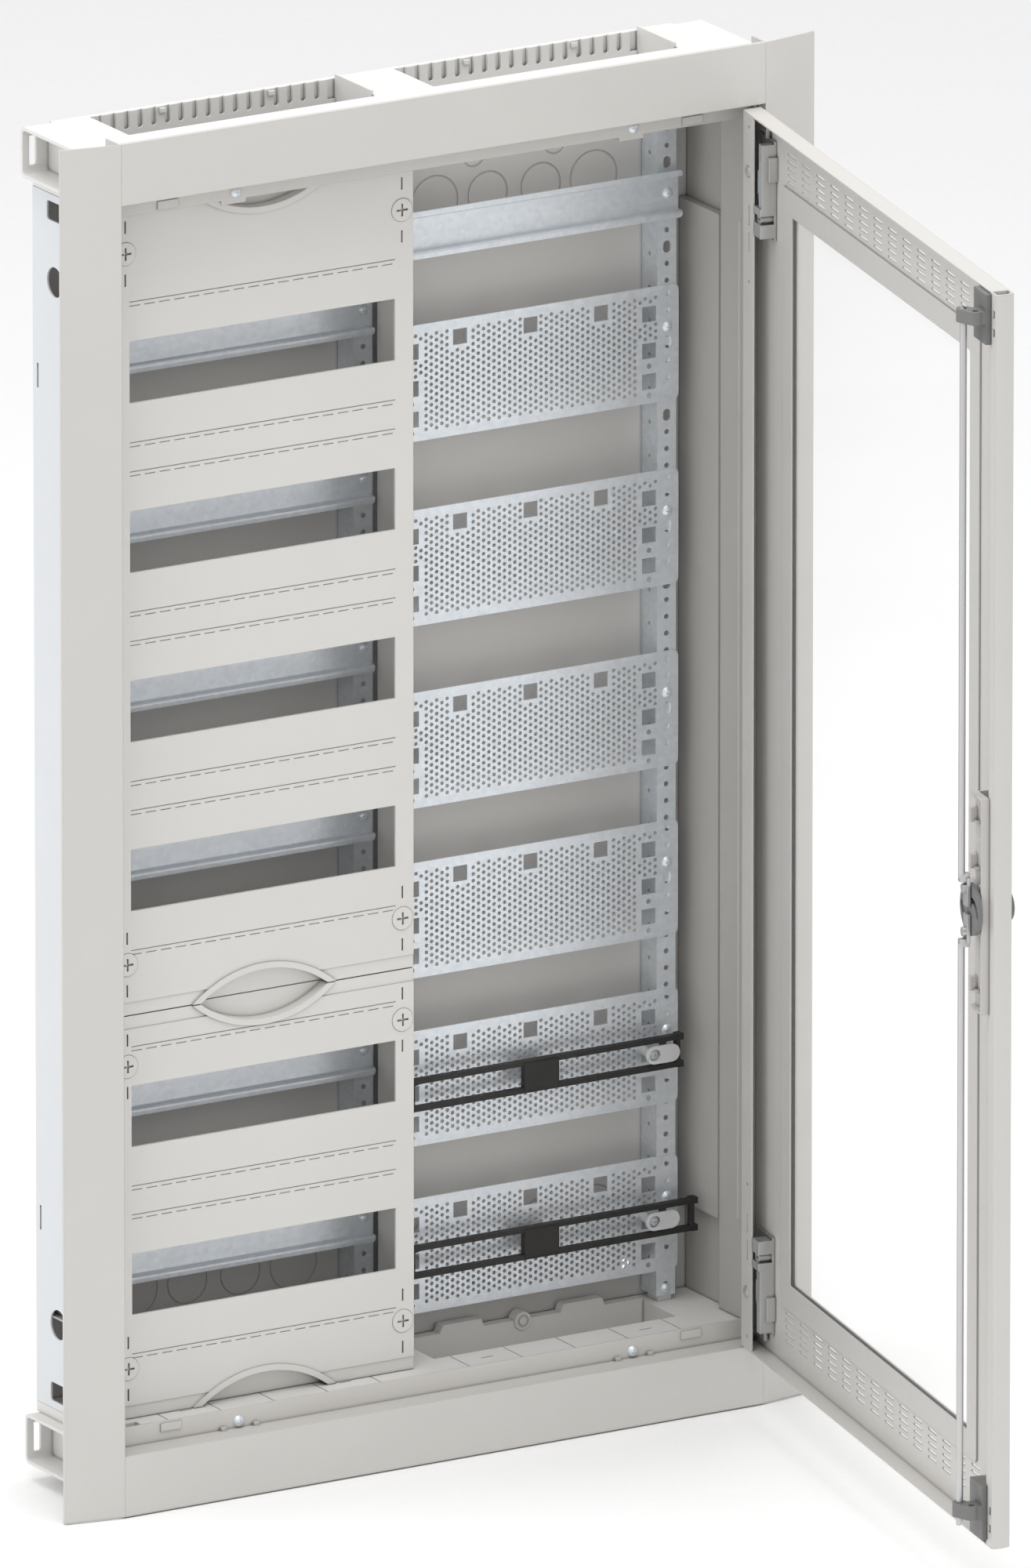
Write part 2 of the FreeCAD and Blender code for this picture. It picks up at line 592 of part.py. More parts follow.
def cover(z_low, z_high, centres, screw_rows):
    """Front cover of the left field: windows, scored lines, grips and a folded rim."""
    x0, x1 = FIELDS[0] - COVER_X, FIELDS[0] + COVER_X
    front = (COVER_FACE, COVER_FACE + COVER_T)
    holes = [rect_xz((FIELDS[0] - WINDOW_X, FIELDS[0] + WINDOW_X), (z - WINDOW_Z / 2, z + WINDOW_Z / 2), 0.8)
             for z in centres]
    for z in screw_rows:
        for x in FASTENER_X:
            holes.append(circle_xz(x, z, 8.7))
            holes += [rect_xz((x - 0.6, x + 0.6), (z + lift - 4.5, z + lift + 4.5)) for lift in (-19.5, 19.5)]
    skin = plate_xz(rect_xz((x0, x1), (z_low, z_high)), holes, front)
    deep = (front[1], front[1] + COVER_RETURN)
    wing = (front[1], COVER_WING)
    rim = [box((x0, x0 + COVER_T), wing, (z_low, z_high)),
           box((x1 - COVER_T, x1), wing, (z_low, z_high)),
           box((x0, x1), deep, (z_low, z_low + COVER_T)),
           box((x0, x1), deep, (z_high - COVER_T, z_high))]
    body = fuse([skin] + rim)
    steps = [box((x0 - 1, x1 + 1), (COVER_FACE - 1, COVER_FACE + 0.7), (z_low - 1, z_low + 9.5)),
             box((x0 - 1, x1 + 1), (COVER_FACE - 1, COVER_FACE + 0.7), (z_high - 9.5, z_high + 1))]
    edges = ((z_low, 1), (z_high, -1))
    body = body.cut(steps + cover_grooves(z_low, z_high, centres))
    grips = [segment_prism(FIELDS[0], z, up, 0.0, (COVER_FACE - 2, deep[1] + 1)) for z, up in edges]
    body = body.cut(grips)
    return fuse([body] + [grip_cup(FIELDS[0], z, up) for z, up in edges])


def cover_posts():
    """Stand-offs between the profile rails and the covers, bored for the fasteners."""
    posts = []
    for z in SCREW_ROWS:
        for x in FASTENER_X:
            post = box((x - 5.8, x + 5.8), (COVER_FACE + COVER_T, RAIL_FACE), (z - 13, z + 13))
            post = post.cut(rod_y(x, z, 4.08, (COVER_FACE + COVER_T - 1, -42)))
            posts.append(post)
    return group(posts)


def cover_fastener(x, z):
    """Quarter-turn fastener: slotted head in the cover, shank in the post."""
    head = rod_y(x, z, 8.5, (COVER_FACE - 0.6, COVER_FACE + COVER_T - GAP))
    rim = [e for e in head.Edges if abs(e.CenterOfMass.y - COVER_FACE + 0.6) < 0.1 and e.Closed]
    head = head.makeChamfer(0.35, rim)
    depth = (COVER_FACE - 2, COVER_FACE + 0.9)
    head = head.cut([box((x - 4.6, x + 4.6), depth, (z - 0.7, z + 0.7)),
                     box((x - 0.7, x + 0.7), depth, (z - 4.6, z + 4.6))])
    shank = rod_y(x, z, 4.0, (COVER_FACE + COVER_T - GAP, -43))
    return fuse([head, shank])


# ---------------------------------------------------------------- cable holders
HOLDER_FRONT = -42.0
HOLDER_BACK = -37.0
HOLDER_HALF = 10.2


def cable_holder(z, x_end):
    """Black ladder-shaped cable bracket: two bars, a middle block and cross bars."""
    ys = (HOLDER_FRONT, HOLDER_BACK)
    x0 = 14.0
    parts = []
    for side in (-1, 1):
        bar_z = z + side * HOLDER_HALF
        parts.append(box((x0 + 4, x_end), ys, (bar_z - 1.9, bar_z + 1.9)))
        parts.append(box((x_end - 5, x_end), (ys[0], ys[1] + 2), (bar_z - 2.3, bar_z + 2.3)))
    parts.append(box((x0, x0 + 5), ys, (z - HOLDER_HALF + 2, z + HOLDER_HALF - 2)))
    for side in (-1, 1):
        corner = [(x0, z + side * (HOLDER_HALF - 3)), (x0 + 5, z + side * (HOLDER_HALF - 3)),
                  (x0 + 9, z + side * (HOLDER_HALF - 1.9)), (x0 + 9, z + side * (HOLDER_HALF + 1.9)),
                  (x0 + 4, z + side * (HOLDER_HALF + 1.9))]
        parts.append(plate_xz(polygon_xz(corner), [], ys))
    parts.append(box((110, 138.5), (ys[0] - 0.8, ys[1]), (z - HOLDER_HALF, z + HOLDER_HALF)))
    parts.append(box((225, 228.5), ys, (z - HOLDER_HALF, z + HOLDER_HALF)))
    parts.append(box((x_end - 6, x_end - 3), ys, (z - HOLDER_HALF, z + HOLDER_HALF)))
    return fuse(parts)


def holder_clips(centres):
    """Clear clips that wrap the right cross bar of each holder, with feet and screws."""
    pieces = []
    for z in centres:
        loop = plate_xz(rect_xz((211, 238.5), (z - 6.6, z + 6.6), 6.5),
                        [rect_xz((213.4, 222.5), (z - 4.4, z + 4.4), 4.3)],
                        (HOLDER_FRONT - 2.2, HOLDER_FRONT - 0.1))
        foot = box((229.6, 236), (HOLDER_FRONT - 0.1, RAIL_FACE - PLATE_T), (z - 5, z + 5))
        base = rod_y(218, z, 3.6, (HOLDER_BACK - 4, RAIL_FACE - PLATE_T))
        screw = dome_screw(218, z, HOLDER_BACK - 4, 3.9, 2.6)
        pieces += [fuse([loop, foot]), base, screw]
    return group(pieces)


# ---------------------------------------------------------------- door, drawn closed
PANE = (78.0, 443.0)          # clear view of the pane, from the hinge edge
PANE_Z = 397.0
BEZEL = 19.0
EDGE_S = 514.2                # the free-edge profile starts here
VENT_FIRST = 66.3
VENT_PITCH = 29.45
VENT_COLUMNS = 14
VENT_ROWS = 5
VENT_LENGTH = 17.4
VENT_WIDTH = 1.8
VENT_TOP = 441.0
VENT_ROW_PITCH = 5.2
LIP_S = (9.8, 30.6)


def vent_cuts():
    cuts = []
    for column in range(VENT_COLUMNS):
        s = VENT_FIRST + column * VENT_PITCH
        for row in range(VENT_ROWS):
            z = VENT_TOP - row * VENT_ROW_PITCH
            for side in (-1, 1):
                cuts.append(rect_xz((door_x(s), door_x(s + VENT_LENGTH)),
                                    (side * z - VENT_WIDTH / 2, side * z + VENT_WIDTH / 2),
                                    VENT_WIDTH / 2 - 0.01))
    return cuts


def door_panel():
    """Door leaf: skin with a cut-out and vents, flanges at top and bottom, hinge-side lip."""
    skin_s = (2.4, EDGE_S - 0.1)
    cutout = rect_xz((door_x(PANE[0] - 6), door_x(PANE[1] + 6)), (-PANE_Z - 6, PANE_Z + 6), 3.0)
    spindle = circle_xz(door_x(LOCK_S), LOCK_Z, 5.0)
    skin = plate_xz(rect_xz([door_x(s) for s in skin_s], (-DOOR_Z, DOOR_Z)),
                    vent_cuts() + [cutout, spindle], (door_y(0), door_y(DOOR_SKIN)))
    wall = [(door_x(0.4), door_y(2.0)), (door_x(2.4), door_y(0)), (door_x(2.6), door_y(DOOR_SKIN)),
            (door_x(1.9), door_y(2.1)), (door_x(LIP_S[0] + 0.6), door_y(DOOR_DEPTH - DOOR_SKIN)),
            (door_x(LIP_S[1]), door_y(DOOR_DEPTH - DOOR_SKIN)), (door_x(LIP_S[1]), door_y(DOOR_DEPTH)),
            (door_x(LIP_S[0]), door_y(DOOR_DEPTH))]
    hinge_side = prism_xy(wall, (-DOOR_Z, DOOR_Z))
    flanges = []
    for side in (-1, 1):
        corner = [(door_x(2.4), door_y(0)), (door_x(0.4), door_y(2.0)), (door_x(LIP_S[0]), door_y(DOOR_DEPTH)),
                  (door_x(skin_s[1]), door_y(DOOR_DEPTH)), (door_x(skin_s[1]), door_y(0))]
        flanges.append(prism_xy(corner, (side * (DOOR_Z - DOOR_SKIN), side * DOOR_Z)))
    leaf = fuse([skin, hinge_side] + flanges)
    holes = []
    for side in (-1, 1):
        holes.append(rod_z(PIVOT_X, PIVOT_Y, 2.5, (side * (DOOR_Z - 13.5), side * (DOOR_Z + 1))))
        for s, z, radius in ((21.5, 450.0, 1.3), (21.8, 336.0, 1.3)):
            holes.append(rod_y(door_x(s), side * z, radius, (door_y(DOOR_DEPTH - 3), door_y(DOOR_DEPTH + 1))))
        for z, half in ((385.0, 7.5), (365.0, 7.0)):
            slot_z = (side * (z - half), side * (z + half))
            holes.append(door_box((21.0, 23.0), (DOOR_DEPTH - 3, DOOR_DEPTH + 1), slot_z))
    return leaf.cut(holes)


def edge_section(inset):
    """Outline of the free-edge profile, drawn inwards by inset: a box with a bowed end."""
    start = (door_x(EDGE_S + inset), door_y(inset))
    outer_end = (door_x(523.6 - inset), door_y(inset))
    bow = (door_x(526.2 - inset), door_y(7.5))
    inner_end = (door_x(525.4 - inset), door_y(DOOR_DEPTH - inset))
    back = (door_x(EDGE_S + inset), door_y(DOOR_DEPTH - inset))
    points = {name: vec(x, y, -DOOR_Z) for name, (x, y) in
              (("start", start), ("outer", outer_end), ("bow", bow), ("inner", inner_end), ("back", back))}
    edges = [Part.makeLine(points["start"], points["outer"]),
             Part.Arc(points["outer"], points["bow"], points["inner"]).toShape(),
             Part.makeLine(points["inner"], points["back"]),
             Part.makeLine(points["back"], points["start"])]
    return Part.Face(Part.Wire(edges)).extrude(vec(0, 0, 2 * DOOR_Z))


def door_edge_profile():
    """Hollow profile with a bowed end along the door's free edge, slotted near its ends."""
    profile = edge_section(0.0).cut(edge_section(1.4))
    slots = []
    for z in (444.8, 431.6, -432.9, -446.0):
        slots.append(door_box((519.4, 523.6), (DOOR_DEPTH - 3, DOOR_DEPTH + 1), (z - 3, z + 3)))
    return profile.cut(slots)


PANE_T = (-1.5, 1.1)          # the pane sits in the cut-out of the skin


def pane_ring(outside, inside, ts):
    """Rectangular ring round the pane, its edges measured outwards from the clear view."""
    outer = rect_xz((door_x(PANE[0] - outside), door_x(PANE[1] + outside)),
                    (-PANE_Z - outside, PANE_Z + outside), 3.0)
    inner = rect_xz((door_x(PANE[0] - inside), door_x(PANE[1] + inside)),
                    (-PANE_Z - inside, PANE_Z + inside), 2.0)
    return plate_xz(outer, [inner], [door_y(t) for t in ts])


def door_pane():
    """Clear pane standing in the cut-out, between the two pane frames."""
    return plate_xz(rect_xz((door_x(PANE[0] - 5.5), door_x(PANE[1] + 5.5)), (-PANE_Z - 5.5, PANE_Z + 5.5), 2.0),
                    [], [door_y(t) for t in PANE_T])


def inner_pane_frame():
    """Flat frame that holds the pane from inside the door."""
    return pane_ring(BEZEL, 0.0, (DOOR_SKIN + 0.1, DOOR_SKIN + 1.4))


def outer_pane_frame():
    """Slim frame around the pane on the outside of the door."""
    face = pane_ring(12.0, 0.0, (PANE_T[0] - 1.6, PANE_T[0] - 0.1))
    return fuse([face, pane_ring(12.0, 5.8, (PANE_T[0] - 0.1, -0.1))])


def hinge_carrier():
    """Upper hinge carrier inside the leaf, with its spring pin, lever and lip screw."""
    z0, z1 = 371.0, 444.0
    depth = (DOOR_SKIN + 0.1, DOOR_DEPTH - DOOR_SKIN - 0.1)
    back = door_box((13.5, 44.5), (DOOR_SKIN + 0.1, DOOR_SKIN + 2.1), (z0, z1))
    blocks = [door_box((31.5, 44.5), (depth[0], DOOR_DEPTH - 0.4), (z0 + 2, z0 + 12)),
              door_box((31.5, 44.5), (depth[0], DOOR_DEPTH - 0.4), (z0 + 18.5, z0 + 24)),
              door_box((38.0, 44.5), (depth[0], DOOR_DEPTH - 1.5), (z0 + 24, z1 - 2)),
              door_box((14.5, 38.0), (depth[0], DOOR_DEPTH - 4), (z0 + 28, z0 + 33)),
              door_box((42.0, 47.0), (depth[0], DOOR_DEPTH - 6), (z0 + 44, z0 + 62))]
    carrier = fuse([back] + blocks)
    barrel = rod_z(door_x(33.0), door_y(7.4), 4.2, (z0 + 33, z0 + 50))
    screw_hole_z = z0 + 15.2
    adjuster = Part.makeCylinder(4.0, 9.0, vec(door_x(38.0), door_y(3.4), screw_hole_z), vec(0, 1, 0))
    adjuster = adjuster.cut(box((door_x(38) - 2.6, door_x(38) + 2.6), (door_y(11.4), door_y(13)),
                                (screw_hole_z - 0.5, screw_hole_z + 0.5)))
    return [fuse([carrier, barrel]), adjuster]


def pivot_pin():
    """Hinge pin at the leaf's upper corner, with its arm to the carrier."""
    pin = rod_z(PIVOT_X, PIVOT_Y, PIN_R, (DOOR_Z - 10, OPEN_Z + 7))
    collar = rod_z(PIVOT_X, PIVOT_Y, 2.6, (DOOR_Z + 0.1, OPEN_Z - 0.25))
    arm = box((door_x(34), PIVOT_X), (PIVOT_Y - 1.2, PIVOT_Y + 1.2), (DOOR_Z - 12.5, DOOR_Z - 9))
    link = box((door_x(34), door_x(31)), (PIVOT_Y - 1.2, PIVOT_Y + 1.2), (444.0, DOOR_Z - 9))
    return fuse([pin, collar, arm, link])


def hinge_hardware():
    """The upper hinge's solids: carrier, adjusting screw, pin and the lip's screw."""
    lip_screw = dome_screw_back(door_x(20.0), 417.0, door_y(DOOR_DEPTH))
    return hinge_carrier() + [pivot_pin(), lip_screw]


def dome_screw_back(x, z, face_y, head_r=4.6, height=2.2):
    """Plain dome head on a plane that faces the rear of the closed door."""
    sphere_r = (head_r ** 2 + height ** 2) / (2 * height)
    head = Part.makeSphere(sphere_r, vec(x, face_y + height - sphere_r, z))
    return head.common(rod_y(x, z, head_r, (face_y, face_y + height + 1)))


# ---------------------------------------------------------------- lock, drawn on the closed door
HOUSING_S = (494.0, 517.0)
HOUSING_Z = (-68.0, 90.0)
HOUSING_T = (DOOR_DEPTH + 0.1, DOOR_DEPTH + 2.1)
RIM_T = 20.3
SPINDLE_R = 8.0
DRUM_R = 12.8
DRUM_TOP = 21.0
CAM_T = (DRUM_TOP, 24.2)
STRAP_T = (24.6, 27.2)
CAM_R = 19.0
SLOT_HALF = FOLLOWER_R + 0.15
GUIDE_T = (DOOR_SKIN + 0.1, 18.4)


def lock_housing():
    """Light plastic housing: a deck level with the edge profile, rims, ears and walls."""
    s0, s1 = HOUSING_S
    z0, z1 = HOUSING_Z
    wall_t = (DOOR_SKIN + 0.1, HOUSING_T[0] + 0.5)
    parts = [door_box(HOUSING_S, HOUSING_T, HOUSING_Z),
             door_box((s0 - 7.5, s1), HOUSING_T, (LOCK_Z - 18, LOCK_Z + 18)),
             door_box((s0, s0 + 1.8), wall_t, (z0, LOCK_Z - 16)),
             door_box((s0, s0 + 1.8), wall_t, (LOCK_Z + 16, z1)),
             door_box((s1 - 1.8, s1), (HOUSING_T[0], RIM_T), HOUSING_Z)]
    for z in (z0, z1 - 1.8):
        parts.append(door_box(HOUSING_S, (HOUSING_T[0], RIM_T), (z, z + 1.8)))
    for z in (74.0, 40.0, -50.0):
        parts.append(door_box((s0, s0 + 5), (HOUSING_T[0], 21.5), (z - 5, z + 5)))
        parts.append(door_box((s0 + 3, s0 + 11), (HOUSING_T[0], HOUSING_T[1] + 3), (z - 5, z - 3.5)))
        parts.append(door_box((s1 - 8, s1), (HOUSING_T[0], HOUSING_T[1] + 3), (z - 16, z - 14.2)))
    body = fuse(parts)
    return body.cut(rod_y(door_x(LOCK_S), LOCK_Z, DRUM_R + 0.08, (door_y(0), door_y(40))))


def lock_knob():
    """Low turning knob outside the door on one piece with the spindle and drum inside."""
    x = door_x(LOCK_S)
    front = door_y(-6.4)
    knob = rod_y(x, LOCK_Z, 11.0, (front, door_y(-2.3)))
    rim = [e for e in knob.Edges if e.Closed and abs(e.CenterOfMass.y - front) < 0.1]
    knob = knob.makeFillet(1.5, rim)
    knob = knob.cut(box((x - 1.3, x + 1.3), (front - 1, front + 2.2), (LOCK_Z - 8, LOCK_Z + 8)))
    neck = rod_y(x, LOCK_Z, 4.9, (door_y(-2.3), door_y(DOOR_SKIN + 0.5)))
    spindle = rod_y(x, LOCK_Z, SPINDLE_R, (door_y(DOOR_SKIN + 0.5), door_y(HOUSING_T[0] + 0.2)))
    drum = rod_y(x, LOCK_Z, DRUM_R, (door_y(HOUSING_T[0] + 0.2), door_y(DRUM_TOP)))
    return fuse([knob, neck, spindle, drum])


def spiral_point(base_deg, turn_deg):
    """Centre of a follower in the cam's own frame after the cam has turned turn_deg."""
    radius = FOLLOWER_REST + ROD_TRAVEL * turn_deg / 90.0
    angle = math.radians(base_deg + turn_deg)
    return radius * math.cos(angle), radius * math.sin(angle)


def spiral_slot(base_deg):
    """Spiral slot, as a chain of short rounded steps, that drives one follower evenly."""
    x0, z0 = door_x(LOCK_S), LOCK_Z
    steps = 12
    ys = (door_y(CAM_T[0] - 1), door_y(CAM_T[1] + 1))
    pieces = []
    points = [spiral_point(base_deg, -3 + 96 * i / steps) for i in range(steps + 1)]
    for (ax, az), (bx, bz) in zip(points, points[1:]):
        pieces.append(rod_y(x0 + ax, z0 + az, SLOT_HALF, ys))
        length = math.dist((ax, az), (bx, bz))
        nx, nz = -(bz - az) / length * SLOT_HALF, (bx - ax) / length * SLOT_HALF
        corners = [(x0 + ax + nx, z0 + az + nz), (x0 + bx + nx, z0 + bz + nz),
                   (x0 + bx - nx, z0 + bz - nz), (x0 + ax - nx, z0 + az - nz)]
        pieces.append(plate_xz(polygon_xz(corners), [], ys))
    last = points[-1]
    pieces.append(rod_y(x0 + last[0], z0 + last[1], SLOT_HALF, ys))
    return fuse(pieces)


def lock_cam():
    """Disc on the drum with two spiral slots for the rods' followers."""
    x = door_x(LOCK_S)
    disc = rod_y(x, LOCK_Z, CAM_R, (door_y(CAM_T[0]), door_y(CAM_T[1])))
    return disc.cut([spiral_slot(90), spiral_slot(270)])


def lock_rod(up, tip_z):
    """Locking rod: round bar, flattened strap with its rivet, follower pin and bevelled tip."""
    x = door_x(LOCK_S)
    follower_z = LOCK_Z + up * FOLLOWER_REST
    strap_end = LOCK_Z + up * 24
    strap = box((x - 4, x + 4), (door_y(STRAP_T[0]), door_y(STRAP_T[1])),
                (follower_z - up * 2.6, strap_end))
    follower = rod_y(x, follower_z, FOLLOWER_R, (door_y(CAM_T[0] + 0.3), door_y(STRAP_T[0] + 0.5)))
    rivet = rod_y(x, LOCK_Z + up * 16, 3.4, (door_y(STRAP_T[1]), door_y(STRAP_T[1] + 2.4)))
    neck = box((x - 2.4, x + 2.4), (door_y(STRAP_T[0]), door_y(ROD_T + 1.8)), (LOCK_Z + up * 21, LOCK_Z + up * 27))
    bar = rod_z(x, door_y(ROD_T), ROD_R, (LOCK_Z + up * 24, tip_z))
    wedge = prism_yz([(door_y(ROD_T) - 3, tip_z - up * 9), (door_y(ROD_T) - 3, tip_z + up),
                      (door_y(ROD_T) + 0.6, tip_z + up)], (x - 4, x + 4))
    return fuse([strap, follower, rivet, neck, bar.cut(wedge)])


def rod_guide(z_low, z_high, arm):
    """Dark block beside the edge profile; its arm guides a rod and has a spare hole."""
    rod = (LOCK_S, ROD_T)
    spare = (LOCK_S + 9.8, 24.6)
    parts = [door_box((492.5, EDGE_S - 0.2), GUIDE_T, (z_low, z_high)),
             door_box((492.5, 517.0), (DOOR_DEPTH + 0.1, GUIDE_T[1]), (z_low, z_high)),
             door_box((LOCK_S, 517.0), (GUIDE_T[1] - 0.5, spare[1]), arm)]
    for s, t in (rod, spare):
        parts.append(rod_z(door_x(s), door_y(t), 5.2, arm))
    along = (spare[0] - rod[0], spare[1] - rod[1])
    length = math.hypot(*along)
    ns, nt = -along[1] / length * 5.2, along[0] / length * 5.2
    corners = [(rod[0] + ns, rod[1] + nt), (spare[0] + ns, spare[1] + nt),
               (spare[0] - ns, spare[1] - nt), (rod[0] - ns, rod[1] - nt)]
    parts.append(prism_xy([(door_x(s), door_y(t)) for s, t in corners], arm))
    bracket = fuse(parts)
    holes = [rod_z(door_x(s), door_y(t), radius, (arm[0] - 1, arm[1] + 1))
             for (s, t), radius in ((rod, ROD_R + 0.06), (spare, 2.4))]
    return bracket.cut(holes)


def lock_escutcheon():
    """Flat plate under the knob on the outside of the door."""
    x = door_x(LOCK_S)
    outline = rect_xz((x - 15, x + 15), (LOCK_Z - 42, LOCK_Z + 42), 6.0)
    return plate_xz(outline, [circle_xz(x, LOCK_Z, 4.98)], (door_y(-2.0), door_y(0)))


# ---------------------------------------------------------------- build
def build():
    os.makedirs("parts", exist_ok=True)
    parts = {}

    parts["rear_panel"] = rear_panel()
    parts["side_panel_right"] = side_panel()
    parts["side_panel_left"] = mirrored_x(side_panel()).cut(side_openings())
    parts["side_liner_right"] = side_liner()
    parts["side_liner_left"] = mirrored_x(side_liner())
    end_piece = break_lines(end_piece_body())
    parts["end_piece_top"] = end_piece
    parts["end_piece_bottom"] = mirrored_z(end_piece)
    parts["cable_combs"] = group(cable_comb(field) for field in FIELDS)
    parts["entry_plates"] = group(entry_plate(field) for field in FIELDS)

    parts["inner_frame"] = inner_frame()
    parts["trim_stile_right"] = trim_stile()
    parts["trim_stile_left"] = mirrored_x(trim_stile())
    parts["trim_rail_top"] = trim_rail()
    parts["trim_rail_bottom"] = mirrored_z(trim_rail())
    parts["pivot_bushes"] = pivot_bushes()

    for name, pair in zip(("left", "right"), RAIL_PAIRS):
        parts["profile_rail_" + name + "_a"] = profile_rail(pair - RAIL_X, 1)
        parts["profile_rail_" + name + "_b"] = profile_rail(pair + RAIL_X, -1)
    for number, z in enumerate(WINDOW_CENTRES, 1):
        parts["din_rail_" + str(number)] = din_rail(DIN_SPAN, z + DIN_RISE)
    parts["din_rail_open_field"] = din_rail(DIN_SINGLE_SPAN, DIN_SINGLE_Z)
    for number, top in enumerate(PLATE_TOPS, 1):
        parts["perforated_plate_" + str(number)] = perforated_plate(top)
    parts["mounting_screws"] = mounting_screws()

    parts["cover_upper"] = cover(SEAM_Z + 0.4, COVER_TOP, WINDOW_CENTRES[:4], SCREW_ROWS[:2])
    parts["cover_lower"] = cover(-COVER_TOP, SEAM_Z - 0.4, WINDOW_CENTRES[4:], SCREW_ROWS[2:])
    parts["cover_posts"] = cover_posts()
    number = 0
    for z in SCREW_ROWS:
        for x in FASTENER_X:
            number += 1
            parts["cover_fastener_" + str(number)] = cover_fastener(x, z)

    holder_rows = (-257.6, -382.5)
    parts["cable_holder_upper"] = cable_holder(holder_rows[0], 243.0)
    parts["cable_holder_lower"] = cable_holder(holder_rows[1], 255.0)
    parts["holder_clips"] = holder_clips(holder_rows)

    door = {
        "door_panel": door_panel(),
        "door_edge_profile": door_edge_profile(),
        "door_pane": door_pane(),
        "pane_frames": group([inner_pane_frame(), outer_pane_frame()]),
        "hinge_upper": group(hinge_hardware()),
        "hinge_lower": group(mirrored_z(solid) for solid in hinge_hardware()),
        "lock_housing": lock_housing(),
        "lock_escutcheon": lock_escutcheon(),
        "rod_guides": group([rod_guide(422.0, 458.5, (437.0, 446.5)),
                             rod_guide(-455.5, -415.5, (-440.0, -430.0))]),
        "lock_knob": lock_knob(),
        "lock_cam": lock_cam(),
        "lock_rod_upper": lock_rod(1, ROD_TIP),
        "lock_rod_lower": lock_rod(-1, -ROD_TIP),
    }
    for node, shape in door.items():
        parts[node] = door_place(shape)

    for node, shape in parts.items():
        save(shape, node)
    print(len(parts), "nodes")


build()
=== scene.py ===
import json
import math

import bmesh
import bpy
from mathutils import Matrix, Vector


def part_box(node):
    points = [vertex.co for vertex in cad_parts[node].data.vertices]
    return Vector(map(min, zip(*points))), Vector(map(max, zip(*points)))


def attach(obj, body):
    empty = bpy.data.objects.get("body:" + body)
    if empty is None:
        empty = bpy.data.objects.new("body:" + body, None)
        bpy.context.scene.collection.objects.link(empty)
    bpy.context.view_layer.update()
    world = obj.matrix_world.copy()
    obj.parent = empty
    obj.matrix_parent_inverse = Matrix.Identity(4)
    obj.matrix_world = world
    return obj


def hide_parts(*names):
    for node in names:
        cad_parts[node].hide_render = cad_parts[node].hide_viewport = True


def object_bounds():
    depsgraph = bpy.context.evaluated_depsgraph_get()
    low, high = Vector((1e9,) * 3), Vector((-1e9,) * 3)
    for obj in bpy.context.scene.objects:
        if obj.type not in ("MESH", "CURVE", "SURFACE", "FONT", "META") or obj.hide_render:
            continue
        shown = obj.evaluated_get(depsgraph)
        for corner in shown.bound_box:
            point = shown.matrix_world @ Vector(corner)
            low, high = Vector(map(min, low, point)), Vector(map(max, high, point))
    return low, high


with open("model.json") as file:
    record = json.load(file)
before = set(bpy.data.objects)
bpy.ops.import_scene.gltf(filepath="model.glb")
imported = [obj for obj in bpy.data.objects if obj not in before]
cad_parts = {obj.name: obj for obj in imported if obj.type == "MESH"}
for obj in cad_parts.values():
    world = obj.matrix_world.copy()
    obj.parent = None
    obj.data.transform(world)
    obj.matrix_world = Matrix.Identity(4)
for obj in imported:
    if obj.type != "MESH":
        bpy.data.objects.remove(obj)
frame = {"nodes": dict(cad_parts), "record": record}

CAD_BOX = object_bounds()
NODES = frame["nodes"]
SLOT_OF = {part["node"]: part["material_slot"] for part in frame["record"]["subparts"]}
MM = 0.001

# ---------------------------------------------------------------- camera
CAMERA_PLACE = Vector((-14.1057, -23.9429, 8.2033))
CAMERA_LOOK = Vector((0.48995, 0.82419, -0.28417))
CAMERA_LENS = 932.06

camera = bpy.data.objects.new("camera", bpy.data.cameras.new("camera"))
bpy.context.scene.collection.objects.link(camera)
camera.location = CAMERA_PLACE
camera.rotation_euler = CAMERA_LOOK.to_track_quat("-Z", "Y").to_euler()
camera.data.sensor_fit = "VERTICAL"
camera.data.sensor_height = 36.0
camera.data.lens = CAMERA_LENS
camera.data.clip_end = 100.0
bpy.context.scene.camera = camera
bpy.context.scene.view_settings.view_transform = "Standard"


# ---------------------------------------------------------------- materials
PAINTED_SHADE_REACH = 3.0 * MM       # how far from a wall the painted groove shade reaches


def new_material(name):
    """An empty node material with its shader and output."""
    material = bpy.data.materials.new(name)
    material.use_nodes = True
    tree = material.node_tree
    tree.nodes.clear()
    output = tree.nodes.new("ShaderNodeOutputMaterial")
    shader = tree.nodes.new("ShaderNodeBsdfPrincipled")
    tree.links.new(shader.outputs["BSDF"], output.inputs["Surface"])
    return material, tree, shader


def noise(tree, scale, detail=4.0, roughness=0.55, stretch=(1, 1, 1)):
    """Noise in object space; scale is in cycles per metre."""
    place = tree.nodes.new("ShaderNodeTexCoord")
    mapping = tree.nodes.new("ShaderNodeMapping")
    mapping.inputs["Scale"].default_value = stretch
    texture = tree.nodes.new("ShaderNodeTexNoise")
    texture.inputs["Scale"].default_value = scale
    texture.inputs["Detail"].default_value = detail
    texture.inputs["Roughness"].default_value = roughness
    tree.links.new(place.outputs["Object"], mapping.inputs["Vector"])
    tree.links.new(mapping.outputs["Vector"], texture.inputs["Vector"])
    return texture.outputs["Fac"]


